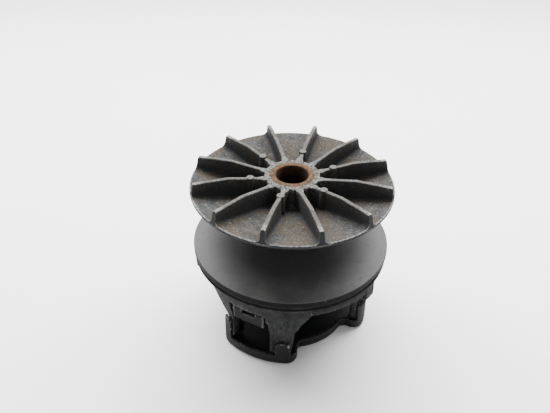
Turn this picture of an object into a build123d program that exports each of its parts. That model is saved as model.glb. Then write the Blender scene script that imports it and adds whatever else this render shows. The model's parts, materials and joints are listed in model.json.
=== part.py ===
from build123d import *
from math import cos, hypot, radians, sin, tan
import os

# Centrifugal drive pulley of a belt CVT, standing on its cover. Millimetres, +Z along the shaft
# from the cover up to the fixed sheave, origin on the floor under the shaft, one arm towards -Y.
# A piece that belongs to an arm is drawn with the arm along +X and then turned to its azimuth.

# ---- driving dimensions ----
ARM_AZIMUTHS = (270.0, 30.0, 150.0)

SHEAVE_R = 101.5
BELT_ANGLE = 11.0
BELT_SLOPE = tan(radians(BELT_ANGLE))
SHIFT = 31.0

FIXED_RIM_Z = 167.0
FIXED_RIM_T = 3.3
FIXED_WEB_T_HUB = 5.0
FIXED_HUB_R = 27.5
FIXED_HUB_TOP = 179.3

RIB_COUNT = 12
RIB_AZIMUTH = 13.7
RIB_T = 4.4
RIB_END_R = 98.5
RIB_END_FOOT_R = 101.0
RIB_END_Z = 182.6
RIB_KINK_R = 64.0
RIB_KINK_Z = 184.0
RIB_FOOT = 3.0
BOSS_COUNT = 6
BOSS_AZIMUTH = 43.7
BOSS_R = 3.8
BOSS_PITCH_R = 42.3
BOSS_TOP = 182.2

POST_HEAD_R = 22.0
POST_R = 20.0
POST_THREAD_R = 17.0
POST_END_R = 14.0
POST_TOP = 179.5
POST_BOTTOM = 3.0
TAPER_MOUTH_R = 16.1
TAPER_RATIO = 10.0
TAPER_LENGTH = 68.0
BOLT_BORE_R = 7.2
SOCKET_R = 10.5
SOCKET_DEPTH = 20.0

MOVING_RIM_Z = 102.8
MOVING_RIM_T = 6.8
MOVING_WEB_T = 6.8
MOVING_BORE_R = 24.0
MOVING_HUB_R = 31.0
GROOVE_R = 99.3
GROOVE_H = 4.0
SKIRT_R = 100.5
SKIRT_IN_R = 94.5
SKIRT_BOTTOM = 83.5
SKIRT_TOWER_BOTTOM = 89.5

TOWER_FOOT_Z = 12.5
TOWER_FOOT_R = 83.5
TOWER_BEND_Z = 38.0
TOWER_TOP_R = 96.5
TOWER_TOP_Z = 95.0
TOWER_WALL = 5.0
WINDOW_HALF = 22.0
WINDOW_TOP = 70.0
WINDOW_CORNER_R = 5.0
WALL_T = 6.5
WALL_INNER_R = 60.0
WIDE_LEG_FOOT = 41.0
NARROW_LEG_FOOT = 29.0
GUSSET_WIDE = ((43.5, 39.0), (51.5, 57.0), (65.0, 80.0))
GUSSET_NARROW = ((29.0, 41.0), (38.0, 57.0), (49.0, 77.0))
SKIRT_GAP = (-43.5, 40.5)
LEG_RECESS_R = 92.4
LEG_RECESSES = ((19.4, 27.6, 86.5), (19.4, 21.2, 84.0))

SPIDER_BOTTOM = 62.0
SPIDER_TOP = 86.0
SPIDER_HUB_R = 31.0
SPIDER_STOP_GAP = 0.3
SHIM_T = 0.8
ARM_END_R = 86.0
ARM_BOTTOM = 48.0
ARM_END_TOP = 63.0
ARM_HALF = 17.5
SLOT_HALF = 7.5
SLOT_INNER_R = 33.5
LOCK_NUT_R = 22.0
LOCK_NUT_T = 6.0

ROLLER_AT = (74.0, 70.0)
ROLLER_R = 8.0
ROLLER_W = 10.8
ROLLER_BORE_R = 5.0
ROLLER_PIN_R = 3.5
WASHER_T = 1.6
WASHER_R = 6.6
BUTTON_AT = (74.0, 56.5)
BUTTON_R = 8.0
BUTTON_GAP = 0.25
BUTTON_STEM_R = 3.0

PIVOT_AT = (60.0, 84.0)
PIVOT_BOLT_R = 3.2
PIVOT_BUSH_R = 4.4
PIVOT_BOSS_R = 7.0
WEIGHT_ANGLE = -122.0
WEIGHT_SWING = 42.0
WEIGHT_W = 10.0
WEIGHT_TAIL = 46.0
CAM_GAP = 0.3
EAR_IN = 6.4
EAR_OUT = 12.4
EAR_R = 7.5

COVER_LOBE_R = 87.5
COVER_WAIST_R = 65.5
COVER_LOBE_SPAN = (-27.5, 36.0)
COVER_CORNER_R = 12.0
COVER_INNER_CORNER_R = 8.0
COVER_WALL = 3.5
COVER_FLOOR = 4.0
COVER_LIP_Z = 12.5
COVER_EDGE_R = 4.0
COVER_BOSS_R = 21.5
COVER_BOSS_TOP = 23.0
COVER_BUSH_R = 17.0
COVER_PAD_R = 6.5
EAR_TOP_Z = 37.0
EAR_LOW_Z = 30.0
TAB_TOP_Z = 30.5
SHOULDER_TOP_Z = 20.0
RAISE_INNER_X = 74.0

COVER_BOLT_R = 2.5
COVER_BOLT_HEAD_R = 4.25
COVER_BOLT_HEAD_H = 5.0
COVER_BOLT_END_Z = 30.0
COVER_BOLTS_AT = ((71.0, 33.0), (71.5, -27.0))
FOOT_BOSS_R = 5.0

SPRING_R = 26.6
SPRING_WIRE_R = 2.4
SPRING_TURNS = 5.0

BALANCE_HOLES = (348.0, 352.0, 355.5, 0.5, 5.0, 9.5)
BALANCE_HOLE_R = 2.3
BALANCE_PAD = (347.5, 355.5)
BALANCE_PAD_Z = 74.0

RUN_FIT = 0.05
CLEAR = 0.1


# ---- helpers ----
def turned(points):
    """Solid of revolution about Z from (radius, height) corners."""
    return revolve(make_face(Polyline(*[(r, 0, z) for r, z in points], close=True)), Axis.Z, 360)


def ring(outer_r, inner_r, z0, z1):
    """Plain ring between two heights."""
    return turned([(inner_r, z0), (outer_r, z0), (outer_r, z1), (inner_r, z1)])


def rod(radius, z0, z1, x=0.0, y=0.0):
    """Upright cylinder at a place."""
    return Pos(x, y, (z0 + z1) / 2) * Cylinder(radius, z1 - z0)


def block(x0, x1, y0, y1, z0, z1):
    """Box from its limits."""
    return Pos((x0 + x1) / 2, (y0 + y1) / 2, (z0 + z1) / 2) * Box(x1 - x0, y1 - y0, z1 - z0)


def cross_rod(radius, at, y0, y1):
    """Cylinder across an arm, along Y, at a (radius, height) place."""
    return Pos(at[0], (y0 + y1) / 2, at[1]) * Rot(90, 0, 0) * Cylinder(radius, y1 - y0)


def cross_plate(points, y0, y1, round_points=()):
    """Plate lying in an arm's own upright plane, from (radius, height) corners."""
    outline = make_face(Polyline(*[(x, z) for x, z in points], close=True))
    for near, radius in round_points:
        corner = outline.vertices().sort_by_distance((near[0], near[1], 0))[0]
        outline = fillet(corner, radius)
    return Plane((0, y1, 0), x_dir=(1, 0, 0), z_dir=(0, -1, 0)) * extrude(outline, y1 - y0)


def facing_plate(outline, x0, x1):
    """Plate from a (sideways, height) sketch, pushed outward along an arm from x0 to x1."""
    return Plane((x0, 0, 0), x_dir=(0, 1, 0), z_dir=(1, 0, 0)) * extrude(outline, x1 - x0)


def sector(outer_r, start, end, z0, z1):
    """Pie slice from the shaft out, between two azimuths less than half a turn apart."""
    middle = (start + end) / 2
    reach = 2 * outer_r / cos(radians((end - start) / 2))
    corners = [(0, 0)]
    corners += [(reach * cos(radians(a)), reach * sin(radians(a))) for a in (start, middle, end)]
    return extrude(Pos(0, 0, z0) * make_face(Polyline(*corners, close=True)), z1 - z0)


def at_arm(index, shape):
    """Turn a shape drawn along +X to one of the three arms."""
    return Rot(0, 0, ARM_AZIMUTHS[index]) * shape


def at_all_arms(shape):
    """The same shape at each arm, as a list."""
    return [at_arm(index, shape) for index in range(len(ARM_AZIMUTHS))]


def parted(casting, *heights):
    """One casting cut at some heights into touching solids, so that each has a simple hull."""
    levels = (-1, *heights, 300)
    return [casting & block(-120, 120, -120, 120, low, high) for low, high in zip(levels, levels[1:])]


def belt_z_fixed(r):
    return FIXED_RIM_Z - (SHEAVE_R - r) * BELT_SLOPE


def belt_z_moving(r):
    return MOVING_RIM_Z + (SHEAVE_R - r) * BELT_SLOPE


def fixed_web_top(r):
    share = (SHEAVE_R - r) / (SHEAVE_R - FIXED_HUB_R)
    return belt_z_fixed(r) + FIXED_RIM_T + share * (FIXED_WEB_T_HUB - FIXED_RIM_T)


def make_rib():
    """One radial rib along +X with rolled feet where it meets the web."""
    inner = FIXED_HUB_R - 2.5
    side = [
        (inner, fixed_web_top(inner) - 2),
        (RIB_END_FOOT_R, fixed_web_top(RIB_END_FOOT_R) - 2),
        (RIB_END_FOOT_R, fixed_web_top(RIB_END_FOOT_R) + 1),
        (RIB_END_R, RIB_END_Z),
        (RIB_KINK_R, RIB_KINK_Z),
        (inner, FIXED_HUB_TOP - 0.6),
    ]
    plate = cross_plate(side, -RIB_T / 2, RIB_T / 2, [((RIB_END_R, RIB_END_Z), 1.5)])
    long_edges = plate.faces().sort_by(Axis.Z)[-2:].edges().filter_by(
        lambda e: abs(e.center().Y) > RIB_T / 2 - 0.1)
    plate = fillet(long_edges, 0.9)
    half = RIB_T / 2 + RIB_FOOT
    foot = make_face([
        Line((-half, -1.5), (half, -1.5)),
        Line((half, -1.5), (half, 0)),
        RadiusArc((half, 0), (RIB_T / 2, RIB_FOOT), -RIB_FOOT),
        Line((RIB_T / 2, RIB_FOOT), (-RIB_T / 2, RIB_FOOT)),
        RadiusArc((-RIB_T / 2, RIB_FOOT), (-half, 0), -RIB_FOOT),
        Line((-half, 0), (-half, -1.5)),
    ])
    run = RIB_END_R - inner
    rise = fixed_web_top(RIB_END_R) - fixed_web_top(inner)
    start = Plane((inner, 0, fixed_web_top(inner)), x_dir=(0, 1, 0), z_dir=(run, 0, rise))
    return plate + start * extrude(foot, hypot(run, rise))


def make_fixed_sheave():
    hub_foot = FIXED_HUB_R + 5.0
    body = turned([
        (POST_HEAD_R, belt_z_fixed(POST_HEAD_R)),
        (SHEAVE_R, FIXED_RIM_Z),
        (SHEAVE_R, fixed_web_top(SHEAVE_R)),
        (hub_foot, fixed_web_top(hub_foot)),
        (FIXED_HUB_R + 1.3, fixed_web_top(FIXED_HUB_R) + 1.6),
        (FIXED_HUB_R, fixed_web_top(FIXED_HUB_R) + 5.0),
        (FIXED_HUB_R, FIXED_HUB_TOP - 1.0),
        (FIXED_HUB_R - 1.0, FIXED_HUB_TOP),
        (POST_HEAD_R, FIXED_HUB_TOP),
    ])
    ribs = [Rot(0, 0, RIB_AZIMUTH + i * 360 / RIB_COUNT) * make_rib() for i in range(RIB_COUNT)]
    boss = rod(BOSS_R, fixed_web_top(BOSS_PITCH_R) - 1, BOSS_TOP, x=BOSS_PITCH_R)
    boss = chamfer(boss.edges().group_by(Axis.Z)[-1], 0.6)
    bosses = [Rot(0, 0, BOSS_AZIMUTH + i * 360 / BOSS_COUNT) * boss for i in range(BOSS_COUNT)]
    trim = ring(POST_HEAD_R, 0, belt_z_fixed(POST_HEAD_R) - 5, RIB_KINK_Z + 5)
    return (body + ribs + bosses) - trim


def make_post():
    """Hollow shaft: taper socket at the top, bolt bore and washer socket at the cover end."""
    taper_end_r = TAPER_MOUTH_R - TAPER_LENGTH / TAPER_RATIO / 2
    taper_end_z = POST_TOP - TAPER_LENGTH
    socket_top = POST_BOTTOM + SOCKET_DEPTH
    shoulder = belt_z_fixed(POST_HEAD_R)
    return turned([
        (SOCKET_R, POST_BOTTOM),
        (POST_END_R - 1, POST_BOTTOM),
        (POST_END_R, POST_BOTTOM + 1),
        (POST_END_R, SPIDER_BOTTOM - LOCK_NUT_T - 1),
        (POST_THREAD_R, SPIDER_BOTTOM - LOCK_NUT_T - 1),
        (POST_THREAD_R, SPIDER_TOP + SHIM_T),
        (POST_R, SPIDER_TOP + SHIM_T),
        (POST_R, shoulder),
        (POST_HEAD_R, shoulder),
        (POST_HEAD_R, POST_TOP - 0.6),
        (POST_HEAD_R - 0.6, POST_TOP),
        (TAPER_MOUTH_R + 1.2, POST_TOP),
        (TAPER_MOUTH_R, POST_TOP - 1.2),
        (taper_end_r, taper_end_z),
        (BOLT_BORE_R, taper_end_z - 4),
        (BOLT_BORE_R, socket_top),
        (SOCKET_R, socket_top),
    ])


def make_spider_shims():
    """Two thin rings between the spider and the shoulder of the post."""
    half = SHIM_T / 2
    return [
        ring(MOVING_BORE_R - 2.4, POST_THREAD_R, SPIDER_TOP + i * half, SPIDER_TOP + (i + 1) * half)
        for i in range(2)
    ]


def make_spider():
    hub = ring(SPIDER_HUB_R, POST_THREAD_R, SPIDER_BOTTOM, SPIDER_TOP)
    hub = chamfer(hub.edges().filter_by(GeomType.CIRCLE).sort_by(SortBy.RADIUS)[-2:], 1.5)
    hub_in = SPIDER_HUB_R - 5
    side = [
        (hub_in, SPIDER_BOTTOM + 1),
        (SPIDER_HUB_R + 3, SPIDER_BOTTOM + 0.5),
        (60, ARM_BOTTOM),
        (ARM_END_R, ARM_BOTTOM),
        (ARM_END_R, ARM_END_TOP),
        (ARM_END_R - 3.7, ARM_END_TOP + 8),
        (ROLLER_AT[0] + 7, ROLLER_AT[1] + 8),
        (ROLLER_AT[0] - 6, ROLLER_AT[1] + 8),
        (64, 73),
        (34, 80),
        (hub_in, 80),
    ]
    rounding = [
        ((ARM_END_R, ARM_BOTTOM), 3.0),
        ((ARM_END_R, ARM_END_TOP), 2.0),
        ((81, 78), 3.0),
        ((68, 78), 2.5),
    ]
    arm = cross_plate(side, -ARM_HALF, ARM_HALF, rounding)
    web_height = 59.0
    slot = block(SLOT_INNER_R, ARM_END_R - 4, -SLOT_HALF, SLOT_HALF, 30, 100)
    slot += block(SLOT_INNER_R, ARM_END_R + 5, -SLOT_HALF, SLOT_HALF, web_height, 100)
    flank_start = ARM_HALF - 5.0
    flanks = [
        block(38, ROLLER_AT[0] - 13, side_y, side_y + 6, 40, 100)
        for side_y in (flank_start, -flank_start - 6)
    ]
    arm = arm - slot - flanks
    arm -= cross_rod(ROLLER_PIN_R, ROLLER_AT, -ARM_HALF - 1, ARM_HALF + 1)
    arm -= cross_rod(BUTTON_STEM_R, BUTTON_AT, -ARM_HALF - 1, ARM_HALF + 1)
    return hub + at_all_arms(arm)


def make_lock_nut():
    """Round slotted nut under the spider."""
    z0 = SPIDER_BOTTOM - LOCK_NUT_T
    nut = ring(LOCK_NUT_R, POST_THREAD_R, z0, SPIDER_BOTTOM)
    nut = chamfer(nut.edges().group_by(Axis.Z)[0].sort_by(SortBy.RADIUS)[-1], 0.8)
    notch = block(LOCK_NUT_R - 2.5, LOCK_NUT_R + 1, -2.5, 2.5, z0 - 1, SPIDER_BOTTOM + 1)
    return nut - [Rot(0, 0, 45 + 90 * i) * notch for i in range(4)]


def make_roller():
    roller = cross_rod(ROLLER_R, ROLLER_AT, -ROLLER_W / 2, ROLLER_W / 2)
    roller = chamfer(roller.edges().filter_by(GeomType.CIRCLE), 0.6)
    return roller - cross_rod(ROLLER_BORE_R, ROLLER_AT, -ROLLER_W, ROLLER_W)


def make_roller_bushing():
    bush = cross_rod(ROLLER_BORE_R, ROLLER_AT, -ROLLER_W / 2, ROLLER_W / 2)
    return bush - cross_rod(ROLLER_PIN_R + RUN_FIT, ROLLER_AT, -ROLLER_W, ROLLER_W)


def make_roller_pin():
    pin = cross_rod(ROLLER_PIN_R, ROLLER_AT, -ARM_HALF, ARM_HALF)
    return chamfer(pin.edges().filter_by(GeomType.CIRCLE), 0.5)


def make_roller_washers():
    """Thrust washers on both sides of a roller."""
    inner = ROLLER_W / 2 + 0.3
    rings = []
    for y0 in (inner, -inner - WASHER_T):
        disc = cross_rod(WASHER_R, ROLLER_AT, y0, y0 + WASHER_T)
        rings.append(disc - cross_rod(ROLLER_PIN_R + RUN_FIT, ROLLER_AT, -ARM_HALF, ARM_HALF))
    return rings


def make_slider_buttons():
    """Plastic buttons on both sides of an arm, which take the torque against the tower walls."""
    face = WINDOW_HALF - BUTTON_GAP
    buttons = []
    for sign in (1, -1):
        low, high = sorted((sign * ARM_HALF, sign * face))
        head = cross_rod(BUTTON_R, BUTTON_AT, low, high)
        outer_edge = head.edges().filter_by(GeomType.CIRCLE).sort_by(Axis.Y)[-1 if sign > 0 else 0]
        head = chamfer(outer_edge, 0.8)
        stem_in = sign * (SLOT_HALF + 1)
        low, high = sorted((sign * (ARM_HALF + 0.5), stem_in))
        buttons.append(head + cross_rod(BUTTON_STEM_R, BUTTON_AT, low, high))
    return buttons


def make_drive_spring():
    """Round-wire compression spring with ground ends, from the cover floor to the spider."""
    low = COVER_FLOOR + SPIDER_STOP_GAP
    high = SPIDER_BOTTOM - SPIDER_STOP_GAP
    pitch = (high - low) / SPRING_TURNS
    path = Pos(0, 0, low) * Helix(pitch, high - low, SPRING_R)
    wire = Plane(path @ 0, z_dir=path % 0) * Circle(SPRING_WIRE_R)
    coil = sweep(wire, path)
    return coil & ring(SPRING_R + 6, SPRING_R - 6, low, high)


# ---- moving side ----
def under_belt_face():
    """Everything that lies below the belt face and inside the leaning tower face."""
    skin = 1.2
    return turned([
        (0, 0),
        (TOWER_FOOT_R, 0),
        (TOWER_FOOT_R, TOWER_BEND_Z),
        (TOWER_TOP_R, TOWER_TOP_Z),
        (TOWER_TOP_R, belt_z_moving(TOWER_TOP_R) - skin),
        (0, belt_z_moving(0) - skin),
    ])


def tower_outline():
    """A tower seen from outside: two legs, two gussets and the beam over the window."""
    corners = [
        (WINDOW_HALF, TOWER_FOOT_Z),
        (WIDE_LEG_FOOT, TOWER_FOOT_Z),
        *GUSSET_WIDE,
        (GUSSET_WIDE[-1][0], TOWER_TOP_Z),
        (-GUSSET_NARROW[-1][0], TOWER_TOP_Z),
        *[(-y, z) for y, z in reversed(GUSSET_NARROW)],
        (-NARROW_LEG_FOOT, TOWER_FOOT_Z),
        (-WINDOW_HALF, TOWER_FOOT_Z),
        (-WINDOW_HALF, WINDOW_TOP),
        (WINDOW_HALF, WINDOW_TOP),
    ]
    face = make_face(Polyline(*corners, close=True))
    for corner, radius in (((WINDOW_HALF, WINDOW_TOP), WINDOW_CORNER_R),
                           ((-WINDOW_HALF, WINDOW_TOP), 2.0)):
        vertex = face.vertices().sort_by_distance((corner[0], corner[1], 0))[0]
        face = fillet(vertex, radius)
    return face


def make_tower(inside):
    """One tower drawn along +X; inside is the space it has to stay in."""
    low, high = TOWER_FOOT_Z, TOWER_TOP_Z
    shell = turned([
        (TOWER_FOOT_R - TOWER_WALL, low),
        (TOWER_FOOT_R, low),
        (TOWER_FOOT_R, TOWER_BEND_Z),
        (TOWER_TOP_R, high),
        (TOWER_TOP_R - TOWER_WALL, high),
        (TOWER_FOOT_R - TOWER_WALL, TOWER_BEND_Z),
    ])
    skin = shell & facing_plate(tower_outline(), 30, 110)
    outer = WINDOW_HALF + WALL_T
    walls = block(WALL_INNER_R, 110, WINDOW_HALF, outer, low, 120)
    walls += block(WALL_INNER_R, 110, -outer, -WINDOW_HALF, low, 120)
    back_slope = cross_plate([(WALL_INNER_R - 1, low - 1), (70, low - 1), (70, low + 8),
                              (WALL_INNER_R - 1, low + 60)], -60, 60)
    walls = (walls & inside) - back_slope
    bosses = [rod(FOOT_BOSS_R, low, low + 34, x, y) for x, y in COVER_BOLTS_AT]
    holes = [rod(COVER_BOLT_R, low - 1, COVER_BOLT_END_Z + 2, x, y) for x, y in COVER_BOLTS_AT]
    return (skin + walls + [boss & inside for boss in bosses]) - holes


def make_pivot_ears(inside):
    """The pair of lugs that carry a flyweight."""
    lug = [(PIVOT_AT[0] - EAR_R, PIVOT_AT[1]), (PIVOT_AT[0] + EAR_R, PIVOT_AT[1]),
           (PIVOT_AT[0] + EAR_R + 2, 120), (PIVOT_AT[0] - EAR_R - 2, 120)]
    ears = []
    for y0 in (EAR_IN, -EAR_OUT):
        y1 = y0 + EAR_OUT - EAR_IN
        ear = cross_plate(lug, y0, y1) + cross_rod(EAR_R, PIVOT_AT, y0, y1)
        ears.append((ear & inside) - cross_rod(PIVOT_BOLT_R + CLEAR, PIVOT_AT, -20, 20))
    return ears


def make_moving_sheave():
    groove_top = MOVING_RIM_Z - MOVING_RIM_T
    groove_bottom = groove_top - GROOVE_H
    hub_bottom = SPIDER_TOP + SHIM_T + SPIDER_STOP_GAP
    root_r = MOVING_HUB_R + 4
    body = turned([
        (MOVING_BORE_R, belt_z_moving(MOVING_BORE_R)),
        (MOVING_BORE_R, hub_bottom),
        (MOVING_HUB_R, hub_bottom),
        (MOVING_HUB_R, belt_z_moving(root_r) - MOVING_WEB_T - 4),
        (root_r, belt_z_moving(root_r) - MOVING_WEB_T),
        (SKIRT_IN_R - 3, belt_z_moving(SKIRT_IN_R - 3) - MOVING_WEB_T),
        (SKIRT_IN_R, belt_z_moving(SKIRT_IN_R) - MOVING_WEB_T - 3),
        (SKIRT_IN_R, SKIRT_BOTTOM),
        (SKIRT_R, SKIRT_BOTTOM),
        (SKIRT_R, groove_bottom),
        (GROOVE_R, groove_bottom),
        (GROOVE_R, groove_top),
        (SHEAVE_R, groove_top),
        (SHEAVE_R, MOVING_RIM_Z),
    ])
    lower_skirt = ring(SHEAVE_R + 2, SKIRT_IN_R - 1, SKIRT_BOTTOM - 1, SKIRT_TOWER_BOTTOM)
    gap = lower_skirt & sector(SHEAVE_R + 5, *SKIRT_GAP, SKIRT_BOTTOM - 2, SKIRT_TOWER_BOTTOM)
    body -= at_all_arms(gap)
    inside = under_belt_face()
    tower = make_tower(inside)
    stiffener = block(MOVING_HUB_R - 2, 92, -2.5, 2.5, 92, 120) & inside
    body += at_all_arms(tower)
    for ears in (at_all_arms(ear) for ear in make_pivot_ears(inside)):
        body += ears
    body += [Rot(0, 0, 60) * piece for piece in at_all_arms(stiffener)]
    pad = ring(SKIRT_R + 0.4, SKIRT_IN_R, BALANCE_PAD_Z, groove_bottom)
    body += pad & sector(SHEAVE_R, *BALANCE_PAD, BALANCE_PAD_Z - 1, groove_bottom + 1)
    for start, end, bottom in LEG_RECESSES:
        recess = ring(TOWER_TOP_R + 1, LEG_RECESS_R, bottom, SKIRT_TOWER_BOTTOM)
        body -= at_all_arms(recess & sector(SHEAVE_R, start, end, bottom - 1, SKIRT_TOWER_BOTTOM + 1))
    hole = Pos(SHEAVE_R, 0, groove_top) * Rot(0, 90, 0) * Cylinder(BALANCE_HOLE_R, 10)
    return body - [Rot(0, 0, azimuth) * hole for azimuth in BALANCE_HOLES]


def make_sheave_bushing():
    z0 = SPIDER_TOP + SHIM_T + SPIDER_STOP_GAP
    return ring(MOVING_BORE_R, POST_R + RUN_FIT, z0, belt_z_moving(MOVING_BORE_R) - 1)


def make_flyweight():
    """Cam weight: its outer face is the envelope of the roller while weight and sheave move."""
    steps = 8
    centres = []
    for i in range(-1, steps + 2):
        share = i / steps
        turn = radians(WEIGHT_ANGLE + WEIGHT_SWING * share)
        dx = ROLLER_AT[0] - PIVOT_AT[0]
        dz = ROLLER_AT[1] - PIVOT_AT[1] - SHIFT * share
        centres.append((dx * cos(turn) + dz * sin(turn), dz * cos(turn) - dx * sin(turn)))
    cam = []
    for before, here, after in zip(centres, centres[1:], centres[2:]):
        along = (after[0] - before[0], after[1] - before[1])
        length = hypot(*along)
        reach = ROLLER_R + CAM_GAP
        cam.append((here[0] + reach * along[1] / length, here[1] - reach * along[0] / length))
    heel = (-PIVOT_BOSS_R + 1.5, cam[0][1] - 3.5)
    tail = (WEIGHT_TAIL, -7.0)
    outline = [
        Line((-PIVOT_BOSS_R, 0), heel),
        Line(heel, cam[0]),
        Spline(*cam),
        Line(cam[-1], tail),
        Line(tail, (WEIGHT_TAIL - 6, -9.5)),
        Line((WEIGHT_TAIL - 6, -9.5), (12, -5.5)),
        Line((12, -5.5), (0, -PIVOT_BOSS_R)),
        Line((0, -PIVOT_BOSS_R), (-PIVOT_BOSS_R, 0)),
    ]
    face = make_face(outline)
    flat = Rot(0, 0, WEIGHT_ANGLE) * (face + Circle(PIVOT_BOSS_R))
    plane = Plane((PIVOT_AT[0], WEIGHT_W / 2, PIVOT_AT[1]), x_dir=(1, 0, 0), z_dir=(0, -1, 0))
    weight = plane * extrude(flat, WEIGHT_W)
    return weight - cross_rod(PIVOT_BUSH_R, PIVOT_AT, -WEIGHT_W, WEIGHT_W)


def make_flyweight_bushing():
    half = EAR_IN - 0.2
    bush = cross_rod(PIVOT_BUSH_R, PIVOT_AT, -half, half)
    return bush - cross_rod(PIVOT_BOLT_R + RUN_FIT, PIVOT_AT, -half - 1, half + 1)


def make_pivot_bolt():
    """Hexagon bolt through both lugs, with its head on the +Y side."""
    head_h = 3.6
    shank = cross_rod(PIVOT_BOLT_R, PIVOT_AT, -EAR_OUT - 6, EAR_OUT)
    hexagon = Pos(PIVOT_AT[0], EAR_OUT, PIVOT_AT[1]) * Rot(-90, 0, 0)
    return shank + hexagon * extrude(RegularPolygon(5.6, 6), head_h)


def make_pivot_nut():
    nut = Pos(PIVOT_AT[0], -EAR_OUT, PIVOT_AT[1]) * Rot(90, 0, 0) * extrude(RegularPolygon(5.6, 6), 5)
    return nut - cross_rod(PIVOT_BOLT_R, PIVOT_AT, -EAR_OUT - 7, 0)


def cover_outline(inset):
    """Three lobes and three waists with rounded corners, drawn inset millimetres inside."""
    outline = Circle(COVER_WAIST_R)
    far = 2 * COVER_LOBE_R
    for azimuth in ARM_AZIMUTHS:
        corners = [(0, 0)]
        corners += [(far * cos(radians(azimuth + a)), far * sin(radians(azimuth + a)))
                    for a in COVER_LOBE_SPAN]
        outline += make_face(Polyline(*corners, close=True)) & Circle(COVER_LOBE_R)
    corners = outline.vertices().group_by(lambda v: round(hypot(v.X, v.Y), 1))
    outline = fillet(corners[-1], COVER_CORNER_R)
    inner_corners = outline.vertices().filter_by(
        lambda v: abs(hypot(v.X, v.Y) - COVER_WAIST_R) < 0.1)
    outline = fillet(inner_corners, COVER_INNER_CORNER_R)
    if inset:
        outline = offset(outline, -inset)
    return outline


def wall_raise(corners, corner_r):
    """Front view of a raised part of the cover wall, with rounded top corners."""
    face = make_face(Polyline(*corners, close=True))
    tops = face.vertices().group_by(Axis.Y)[-1]
    return fillet(tops, corner_r)


def make_cover():
    outer = extrude(cover_outline(0), COVER_LIP_Z)
    outer = fillet(outer.edges().group_by(Axis.Z)[0], COVER_EDGE_R)
    inner = cover_outline(COVER_WALL)
    cup = outer - Pos(0, 0, COVER_FLOOR) * extrude(inner, COVER_LIP_Z)
    tall = extrude(cover_outline(0), EAR_TOP_Z) - extrude(inner, EAR_TOP_Z)
    low = COVER_LIP_Z - 3
    ear = [(-40, low), (-23, low), (-23, EAR_TOP_Z), (-29, EAR_TOP_Z), (-40, EAR_LOW_Z)]
    raises = [
        wall_raise(ear, 4.0),
        wall_raise([(29.5, low), (42, low), (42, TAB_TOP_Z), (29.5, TAB_TOP_Z)], 5.8),
        wall_raise([(38, low), (45.5, low), (45.5, SHOULDER_TOP_Z), (38, SHOULDER_TOP_Z)], 2.5),
    ]
    pads = [rod(COVER_PAD_R, 1, TOWER_FOOT_Z, x, y) for x, y in COVER_BOLTS_AT]
    inside = extrude(cover_outline(0.5), TOWER_FOOT_Z)
    cup += rod(COVER_BOSS_R, 0, COVER_BOSS_TOP)
    for front in raises:
        cup += [tall & piece for piece in at_all_arms(facing_plate(front, RAISE_INNER_X, 95))]
    for pad in pads:
        cup += [inside & piece for piece in at_all_arms(pad)]
    cup -= rod(COVER_BUSH_R, -1, COVER_BOSS_TOP + 1)
    head_room = COVER_BOLT_HEAD_H + 1
    for x, y in COVER_BOLTS_AT:
        cup -= at_all_arms(rod(COVER_BOLT_R + CLEAR, -1, 20, x, y))
        cup -= at_all_arms(rod(COVER_BOLT_HEAD_R + 0.6, -1, head_room, x, y))
    return cup


def make_cover_bushing():
    return ring(COVER_BUSH_R, POST_END_R + RUN_FIT, 1, COVER_BOSS_TOP)


def make_cover_bolts():
    """Six cap screws from below, two to a tower."""
    bolts = []
    head_top = COVER_BOLT_HEAD_H + 1
    for x, y in COVER_BOLTS_AT:
        head = rod(COVER_BOLT_HEAD_R, 1, head_top, x, y)
        head = chamfer(head.edges().group_by(Axis.Z)[0], 0.5)
        key = extrude(Pos(x, y, 0.5) * RegularPolygon(2.3, 6), 3)
        bolt = head + rod(COVER_BOLT_R, head_top - 0.5, COVER_BOLT_END_Z, x, y) - key
        bolts += at_all_arms(bolt)
    return bolts


# ---- write one STEP file for each node ----
def solids_of(shape):
    """All solids in a shape or in a list of shapes."""
    if isinstance(shape, (list, tuple)):
        return [solid for item in shape for solid in solids_of(item)]
    return list(shape.solids())


def write(name, shape):
    solids = solids_of(shape)
    node = solids[0] if len(solids) == 1 else Compound(children=solids)
    node.label = name
    export_step(node, f"parts/{name}.step")


def main():
    os.makedirs("parts", exist_ok=True)
    single = {
        "fixed_sheave": make_fixed_sheave(),
        "post": make_post(),
        "spider": make_spider(),
        "spider_shims": make_spider_shims(),
        "lock_nut": make_lock_nut(),
        "drive_spring": make_drive_spring(),
        "moving_sheave": parted(make_moving_sheave(), WINDOW_TOP, WINDOW_TOP + 6),
        "sheave_bushing": make_sheave_bushing(),
        "cover": parted(make_cover(), COVER_LIP_Z),
        "cover_bushing": make_cover_bushing(),
        "cover_bolts": make_cover_bolts(),
    }
    per_arm = {
        "roller": make_roller(),
        "roller_bushing": make_roller_bushing(),
        "roller_pin": make_roller_pin(),
        "roller_washers": make_roller_washers(),
        "slider_buttons": make_slider_buttons(),
        "flyweight": make_flyweight(),
        "flyweight_bushing": make_flyweight_bushing(),
        "pivot_bolt": make_pivot_bolt(),
        "pivot_nut": make_pivot_nut(),
    }
    for name, shape in single.items():
        write(name, shape)
    for name, shape in per_arm.items():
        for index in range(len(ARM_AZIMUTHS)):
            turned_solids = [at_arm(index, solid) for solid in solids_of(shape)]
            write(f"{name}_{index + 1}", turned_solids)


main()
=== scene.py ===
import json
import math

import bmesh
import bpy
import numpy as np
from mathutils import Matrix, Vector
from mathutils.kdtree import KDTree


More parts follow.
